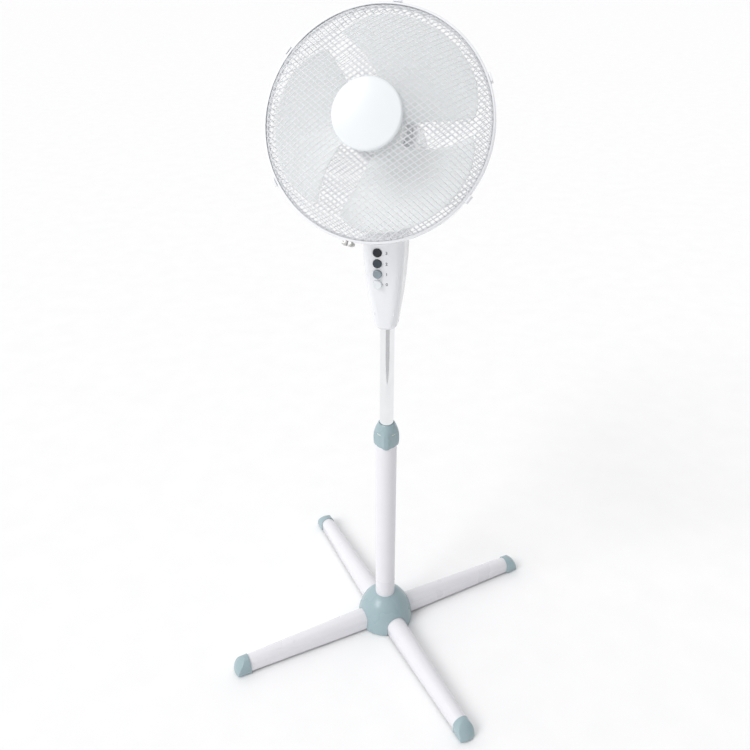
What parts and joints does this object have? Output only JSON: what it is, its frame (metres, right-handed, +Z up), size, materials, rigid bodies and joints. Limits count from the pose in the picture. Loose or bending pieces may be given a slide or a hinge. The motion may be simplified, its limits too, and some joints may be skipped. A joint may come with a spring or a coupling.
{
  "type": "pedestal fan",
  "caption": "Upright fan on a cross base: telescopic tube column with a locking collar, push-button box, tilting and oscillating motor head, three wide blades in a domed mesh guard.",
  "frame": {"origin": "on the floor at the column's axis, the centre of the base's bottom", "axes": "+Z up the column; the fan blows towards -Y, tilted up 25 degrees; +X is the fan's left as it faces forward, with the tilt knob"},
  "size_m": [0.5264, 0.5264, 1.1884],
  "materials": {
    "white_paint": "satin",
    "wire_coat": "gloss",
    "white_plastic": "gloss",
    "accent_plastic": "satin",
    "pad_rubber": "matte",
    "zinc_steel": "zinc plated",
    "chrome_tube": "mirror",
    "lamination": "satin",
    "die_cast": "as cast",
    "sinter_bronze": "satin",
    "copper_winding": "enamelled",
    "nylon": "satin",
    "dark_plastic": "satin",
    "button_black": "gloss",
    "button_slate": "gloss",
    "button_grey": "gloss",
    "button_white": "gloss",
    "blade_plastic": "gloss"
  },
  "bodies": {
    "base": {"leg_bar_upper": "white_paint", "leg_bar_lower": "white_paint", "foot_cap_1": "accent_plastic", "foot_cap_2": "accent_plastic", "foot_cap_3": "accent_plastic", "foot_cap_4": "accent_plastic", "foot_pads": "pad_rubber", "base_hub": "accent_plastic", "clamp_plate": "zinc_steel", "base_bolt": "zinc_steel", "tube_plug": "zinc_steel", "outer_tube": "white_paint", "guide_bush": "nylon"},
    "collar": {"locking_collar": "accent_plastic"},
    "lift": {"tube_glide": "nylon"},
    "column": {"inner_tube": "chrome_tube", "neck_post": "white_plastic", "control_box_front": "white_plastic", "control_box_back": "white_plastic", "box_screws": "zinc_steel", "switch_block": "dark_plastic", "run_capacitor": "dark_plastic", "tilt_pin": "zinc_steel"},
    "button_high": {"button_high": "button_black"},
    "button_medium": {"button_medium": "button_slate"},
    "button_low": {"button_low": "button_grey"},
    "button_off": {"button_off": "button_white"},
    "tilt": {"tilt_bracket": "white_paint"},
    "knob": {"tilt_knob": "accent_plastic"},
    "link": {"link_arm": "zinc_steel"},
    "head": {"gearbox_case": "die_cast", "gearbox_lid": "die_cast", "pivot_pin": "zinc_steel", "motor_end_rear": "die_cast", "motor_end_front": "die_cast", "stator_core": "lamination", "stator_coils": "copper_winding", "shaft_bushes": "sinter_bronze", "motor_cover_rear": "white_plastic", "motor_cover_front": "white_plastic", "cover_screws": "zinc_steel", "rear_grille": "wire_coat", "grille_nut": "white_plastic", "guard_ring": "white_plastic", "guard_clips": "white_plastic", "ring_screw": "zinc_steel", "front_grille": "wire_coat", "centre_cap": "white_plastic"},
    "rotor": {"motor_shaft": "zinc_steel", "rotor_core": "lamination", "propeller": "blade_plastic", "spinner_nut": "white_plastic"},
    "worm_wheel": {"worm_gear": "nylon"},
    "drive": {"drive_gear": "nylon"},
    "crank": {"crank": "zinc_steel"},
    "clutch": {"clutch_knob": "accent_plastic"}
  },
  "joints": [
    {"name": "collar_turn", "type": "hinge", "parent": "base", "child": "collar", "pos_m": [0, 0, 0.47], "axis": [0, 0, 1], "range_deg": [0, 90]},
    {"name": "height_slide", "type": "slide", "parent": "base", "child": "lift", "axis": [0, 0, 1], "range_m": [-0.16, 0.08]},
    {"name": "column_swivel", "type": "hinge", "parent": "lift", "child": "column", "pos_m": [0, 0, 0.47], "axis": [0, 0, 1], "range_deg": [-180, 180]},
    {"name": "tilt", "type": "hinge", "parent": "column", "child": "tilt", "pos_m": [0, 0, 0.915], "axis": [-1, 0, 0], "range_deg": [-35, 5]},
    {"name": "tilt_knob_turn", "type": "hinge", "parent": "column", "child": "knob", "pos_m": [0.02, 0, 0.915], "axis": [1, 0, 0], "range_deg": [-360, 0]},
    {"name": "oscillation", "type": "hinge", "parent": "tilt", "child": "head", "pos_m": [0, 0, 0.915], "axis": [0, 0.4226, 0.9063], "range_deg": [-35, 35]},
    {"name": "fan_spin", "type": "hinge", "parent": "head", "child": "rotor", "pos_m": [0, 0.03191, 0.98343], "axis": [0, -0.9063, 0.4226], "continuous": true},
    {"name": "worm_wheel_spin", "type": "hinge", "parent": "head", "child": "worm_wheel", "pos_m": [0.0143, 0.00106, 0.9145], "axis": [0, 0.4226, 0.9063], "continuous": true},
    {"name": "drive_gear_spin", "type": "hinge", "parent": "head", "child": "drive", "pos_m": [0, 0.02356, 0.90401], "axis": [0, 0.4226, 0.9063], "continuous": true},
    {"name": "crank_turn", "type": "hinge", "parent": "head", "child": "crank", "pos_m": [0, 0.02356, 0.90401], "axis": [0, 0.4226, 0.9063], "range_deg": [-64, 64]},
    {"name": "link_swing", "type": "hinge", "parent": "tilt", "child": "link", "pos_m": [0.015, 0, 0.915], "axis": [0, 0.4226, 0.9063], "range_deg": [-30, 30]},
    {"name": "clutch_pull", "type": "slide", "parent": "crank", "child": "clutch", "axis": [0, 0.4226, 0.9063], "range_m": [0, 0.006]},
    {"name": "press_high", "type": "slide", "parent": "column", "child": "button_high", "axis": [0, 1, 0], "range_m": [0, 0.004], "stiffness_N_per_m": 400, "springref_m": -0.0008},
    {"name": "press_medium", "type": "slide", "parent": "column", "child": "button_medium", "axis": [0, 1, 0], "range_m": [0, 0.004], "stiffness_N_per_m": 400, "springref_m": -0.0008},
    {"name": "press_low", "type": "slide", "parent": "column", "child": "button_low", "axis": [0, 1, 0], "range_m": [0, 0.004], "stiffness_N_per_m": 400, "springref_m": -0.0008},
    {"name": "press_off", "type": "slide", "parent": "column", "child": "button_off", "axis": [0, 1, 0], "range_m": [0, 0.004], "stiffness_N_per_m": 400, "springref_m": -0.0008}
  ],
  "couplings": [
    {"joint": "worm_wheel_spin", "follows": "fan_spin", "ratio": -0.05},
    {"joint": "drive_gear_spin", "follows": "fan_spin", "ratio": 0.014773},
    {"joint": "crank_turn", "follows": "oscillation", "ratio": -1.8},
    {"joint": "link_swing", "follows": "oscillation", "ratio": 0.85}
  ]
}
